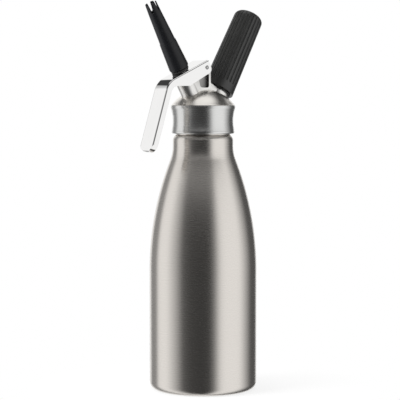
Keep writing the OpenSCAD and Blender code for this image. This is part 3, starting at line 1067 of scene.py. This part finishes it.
@dataclass
class Nozzle:
    """The decorating nozzle with its crown of prongs, and the washer under it."""

    foot: float = 54.6
    length: float = 65.0
    base: float = 8.85
    tip: float = 5.25
    step: float = 26.5
    prongs: int = 5
    prong_length: float = 8.5
    slot_foot: float = 1.8
    slot_mouth: float = 3.1
    tip_round: float = 0.9
    bore: float = 4.1
    socket: float = 6.35
    socket_top: float = 67.5
    washer_radius: float = 8.0
    washer_low: float = 52.45
    washer_height: float = 1.95

    def build(self) -> None:
        """Models the nozzle and its washer."""
        top = self.foot + self.length
        crown = top - self.prong_length
        taper = (self.base - self.tip) / self.length
        step_z = self.foot + self.step
        step_r = self.base - taper * self.step + 0.2
        outline = softened([
            (self.socket, self.foot, 0), (self.base - 0.1, self.foot, 1.5),
            (self.base, self.foot + 2.4, 1.0), (step_r, step_z, 0.3), (step_r - 0.42, step_z + 0.35, 0.3),
            (self.tip, top - 0.4, 0.5), (self.tip - 0.5, top, 0.3), (self.bore, top, 0.2),
            (self.bore, crown - 4, 1), (5.4, self.socket_top, 0.3), (self.socket, self.socket_top, 0),
            (self.socket, self.foot, 0)])
        body = Workpiece.lathe("nozzle_tube", outline, 96)
        for i in range(self.prongs):
            tool = self.slot_tool(crown, top)
            tool.placed(Matrix.Rotation(2 * math.pi * i / self.prongs, 4, "Z"))
            body.work(Cut.AWAY, tool)
        body.edge_break(0.2, 2, 40)
        body.placed(VALVE_AXIS).dress(NOZZLE_PLASTIC, "nozzle", "decorator_nozzle", angle=35)

        high = self.washer_low + self.washer_height
        ring = ring_outline(self.socket, self.washer_radius, self.washer_low, high, 0.45, 4)
        washer = Workpiece.lathe("washer_ring", ring, 80)
        washer.placed(VALVE_AXIS).dress(DARK_RUBBER, "washer", "nozzle_washer")

    def slot_tool(self, crown: float, top: float) -> Workpiece:
        """Makes the tool for one slot: round at its foot, wider at the tip, flared round the prongs.

        Args:
            crown: Height of the slot's foot.
            top: Height of the nozzle's tip.

        Returns:
            The tool, on the +X side of the nozzle's axis.
        """
        foot, mouth, flare = self.slot_foot / 2, self.slot_mouth / 2, self.tip_round
        outline = ([(-mouth - flare, top + 1)]
                   + arc((-mouth - flare, top - flare), flare, 90, 0, 4)
                   + arc((0, crown + foot), foot, 180, 360, 12)
                   + arc((mouth + flare, top - flare), flare, 180, 90, 4)
                   + [(mouth + flare, top + 1), (-mouth - flare, top + 1)])
        return Workpiece.slab("slot_tool", [(0, across, up) for across, up in outline], (12, 0, 0))


# ---- charger holder ----


@dataclass
class ChargerHolder:
    """The ribbed grip that holds the gas charger, and the ring under its rim."""

    rim: float = 34.65
    length: float = 79.6
    radius: float = 14.5
    top_radius: float = 13.3
    bore: float = 11.2
    sleeve_top: float = 109.0
    band: float = 8.0
    edge: float = 5.5
    ribs: int = 24
    groove: float = 0.9
    groove_width: float = 2.0
    ring_bore: float = 9.75
    ring_radius: float = 12.2
    ring_low: float = 33.6

    def build(self) -> None:
        """Models the grip and the ring."""
        top = self.rim + self.length
        slope = (self.radius - self.top_radius) / self.length
        side = [(self.radius - slope * run, self.rim + run)
                for run in (0.9, 3, self.band - 1.2, self.band - 0.6, self.band, self.band + 0.6,
                            self.band + 1.4, 14, 20, 27, 34, 41, 48, 55, 62, 68, 72)]
        outline = (softened([(self.bore, self.rim, 0), (self.radius - 0.05, self.rim, 0.6),
                             (self.radius, self.rim + 0.9, 0)], 4)[:-1]
                   + side
                   + corner((self.radius, self.rim), (self.top_radius, top - 0.4), (0, top), self.edge, 12)
                   + [(4, top - 0.1), (0, top), (0, self.sleeve_top), (self.bore, self.sleeve_top),
                      (self.bore, self.rim)])
        grip = Workpiece.lathe("ribbed_grip", outline, self.ribs * 8)
        grip.work(Cut.AWAY, self.groove_tool(slope).around(self.ribs, 180 / self.ribs))
        grip.edge_break(0.35, 3, 35)
        grip.placed(CHARGER_AXIS).dress(GRIP_PLASTIC, "holder", "holder_grip", angle=50)

        ring = ring_outline(self.ring_bore, self.ring_radius, self.ring_low, self.rim, 0.3, 3)
        seal = Workpiece.lathe("holder_seal", ring, 80)
        seal.placed(CHARGER_AXIS).dress(DARK_RUBBER, "holder_ring", "holder_ring")

    def groove_tool(self, slope: float) -> Workpiece:
        """Makes the round tool for one groove.

        Args:
            slope: How much the grip's radius falls in each millimetre of its length.

        Returns:
            The tool, on the +X side of the grip's axis and leaning in with its side.
        """
        half = self.groove_width / 2
        radius = (half ** 2 + self.groove ** 2) / (2 * self.groove)
        out = self.radius - slope * self.band - self.groove + radius
        tool = Workpiece.rod("groove_tool", radius, 0, self.length, 20)
        return tool.placed(Matrix.Translation((out * MM, 0, (self.rim + self.band) * MM))
                           @ Matrix.Rotation(-math.atan(slope), 4, "Y"))


# ---- carried-over CAD nodes ----


CARRIED: dict[str, Finish] = {
    "head_gasket": SILICONE,
    "valve_lock_nut": WORKING_STEEL,
    "valve_seat": BRASS,
    "valve_guide": BRASS,
    "piercing_pin": BRASS,
    "pin_gasket": DARK_RUBBER,
    "check_valve": DARK_RUBBER,
    "pivot_washers": WASHER_PLASTIC,
    "valve_spring": SPRING_WIRE,
    "valve_spindle": WORKING_STEEL,
    "spindle_collar": WORKING_STEEL,
    "valve_seal": DARK_RUBBER,
    "seal_nut": WORKING_STEEL,
    "spindle_o_ring": DARK_RUBBER,
    "nozzle_adaptor": WORKING_STEEL,
    "holder_sleeve": SLEEVE_METAL,
    "charger_pad": DARK_RUBBER,
    "gas_charger": CHARGER_STEEL,
}


def dress_carried(nodes: dict[str, bpy.types.Object]) -> None:
    """Gives each CAD node that stays its finish.

    Args:
        nodes: The frame's nodes by name.
    """
    for name, finish in CARRIED.items():
        node = nodes[name]
        node.data.materials.clear()
        node.data.materials.append(finish.material())
        log.info("%s: finish %s", name, finish.name)


# ---- studio ----


@dataclass
class Studio:
    """White room, a tent that only reflections show, a pale floor, three lamps and the camera."""

    camera_at: tuple[float, float, float] = (-0.91476, -1.08341, 0.25737)
    pitch: float = 86.4909
    heading: float = -40.0671
    lens: float = 142.17
    fill: float = 0.5
    tent_radius: float = 2.2
    tent_middle: float = 0.25
    lift_from: float = 0.36
    lift_level: float = 0.6
    roof_from: float = 0.565
    roof_level: float = 0.05
    soft_box_from: float = 0.83

    def build(self) -> None:
        """Sets up the camera, the world, the tent, the floor and the lamps."""
        self.build_camera()
        self.build_world()
        self.build_tent()
        self.build_floor()
        self.build_lamps()
        bpy.context.scene.view_settings.view_transform = "Standard"

    def build_camera(self) -> None:
        """Camera at the photograph's viewing angle."""
        data = bpy.data.cameras.new("camera")
        data.lens = self.lens
        data.sensor_width = 36
        data.clip_start, data.clip_end = 0.05, 50
        camera = bpy.data.objects.new("camera", data)
        camera.location = self.camera_at
        camera.rotation_euler = (math.radians(self.pitch), 0, math.radians(self.heading))
        bpy.context.scene.collection.objects.link(camera)
        bpy.context.scene.camera = camera

    def build_world(self) -> None:
        """White where it is seen, directly or in metal and glass; a plain lower level lights the rest."""
        world = bpy.data.worlds.new("studio")
        bpy.context.scene.world = world
        world.use_nodes = True
        graph = Graph(world.node_tree)
        path = graph.node("ShaderNodeLightPath").outputs
        camera_ray, glossy, through = (Value(graph, path[name]) for name in (
            "Is Camera Ray", "Is Glossy Ray", "Is Transmission Ray"))
        seen = (camera_ray + glossy + through).clamped()
        level = seen * (1 - self.fill) + self.fill
        shader = graph.node("ShaderNodeBackground", None, {"Color": (1, 1, 1, 1), "Strength": level})
        graph.node("ShaderNodeOutputWorld", None, {"Surface": shader.outputs[0]})

    def build_tent(self) -> None:
        """Tent with dark flags all round, and a dark roof with a soft box."""
        Workpiece.rest()
        bpy.ops.mesh.primitive_uv_sphere_add(
            segments=96, ring_count=48, radius=self.tent_radius, location=(0, 0, self.tent_middle))
        tent = Workpiece(bpy.context.object, "reflection_tent").settled().thing
        for ray in ("camera", "diffuse", "transmission", "volume_scatter", "shadow"):
            setattr(tent, f"visible_{ray}", False)
        material = bpy.data.materials.new("tent_cloth")
        material.use_nodes = True
        graph = Graph(material.node_tree)
        _, x, y, z = graph.place()
        turned = math.radians(self.heading)
        towards = x * math.sin(turned) - y * math.cos(turned)
        right = x * math.cos(turned) + y * math.sin(turned)
        azimuth = graph.maths("ARCTAN2", right, towards) / (2 * math.pi) + 0.5
        stops = [(-180, 1.0), (-150, 1.0), (-146, 0.3), (-120, 0.3), (-109, 1.0), (-84, 1.0),
                 (-60, 0.5), (-44, 0.10), (-26, 0.06), (-4, 0.05), (14, 0.05), (24, 0.2), (38, 0.9),
                 (48, 1.0), (84, 1.0), (104, 0.5), (122, 0.10), (152, 0.10), (160, 1.0), (180, 1.0)]
        around = graph.value("ShaderNodeValToRGB", {"stops": [(a / 360 + 0.5, v) for a, v in stops]},
                             {0: azimuth})
        rise = (z - self.tent_middle / MM) / (self.tent_radius / MM)
        lifted = ((rise - self.lift_from) * 4.5).clamped()
        roofed = ((rise - self.roof_from) * 30.0).clamped()
        soft_box = ((rise - self.soft_box_from) * 9.0).clamped()
        roof = self.roof_level + (1 - self.roof_level) * soft_box
        raised = graph.maths("MAXIMUM", around, self.lift_level)
        level = (around * (1 - lifted) + raised * lifted) * (1 - roofed)
        level = level + roof * roofed
        glow = graph.node("ShaderNodeEmission", None, {"Color": level, "Strength": 1.0})
        graph.node("ShaderNodeOutputMaterial", None, {"Surface": glow.outputs[0]})
        tent.data.materials.append(material)

    def build_floor(self) -> None:
        """Pale floor that keeps the object's shadow."""
        Workpiece.rest()
        bpy.ops.mesh.primitive_plane_add(size=8)
        floor = bpy.context.object
        floor.name = "floor"
        floor.visible_glossy = False
        material = bpy.data.materials.new("pale_floor")
        material.use_nodes = True
        graph = Graph(material.node_tree)
        matt = graph.node("ShaderNodeBsdfDiffuse", None, {"Color": (0.9, 0.9, 0.9, 1)})
        glow = graph.node("ShaderNodeEmission", None, {"Color": (1, 1, 1, 1), "Strength": 1.0})
        camera_ray = Value(graph, graph.node("ShaderNodeLightPath").outputs["Is Camera Ray"])
        _, x, y, _ = graph.place()
        distance = graph.maths("SQRT", x * x + y * y)
        away = ((distance - 60) * 0.01).clamped()
        mixed = graph.node("ShaderNodeMixShader", None, {
            0: camera_ray * (0.8 + 0.2 * away), 1: matt.outputs[0], 2: glow.outputs[0]})
        graph.node("ShaderNodeOutputMaterial", None, {"Surface": mixed.outputs[0]})
        floor.data.materials.append(material)

    def build_lamps(self) -> None:
        """Two soft boxes and a top light."""
        for name, at, size, power in (
                ("left_soft_box", (-1.25, 0.35, 0.75), 0.9, 30.0),
                ("right_soft_box", (0.75, -1.2, 0.8), 0.8, 3.0),
                ("top_light", (0.1, 0.2, 1.5), 1.0, 9.0)):
            data = bpy.data.lights.new(name, "AREA")
            data.size = size
            data.energy = power
            lamp = bpy.data.objects.new(name, data)
            lamp.location = at
            lamp.rotation_euler = (Vector((0, 0, 0.2)) - Vector(at)).to_track_quat("-Z", "Y").to_euler()
            lamp.visible_glossy = False
            bpy.context.scene.collection.objects.link(lamp)


def main() -> None:
    """Loads the frame, and models and dresses every piece."""
    logging.basicConfig(level=logging.INFO, format="%(message)s", stream=sys.stdout)
    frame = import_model()
    Studio().build()
    for assembly in (Bottle(), Head(), Lever(), Nozzle(), ChargerHolder()):
        log.info("building %s", type(assembly).__name__)
        assembly.build()
    dress_carried(frame["nodes"])


if __name__ == "__main__":
    main()
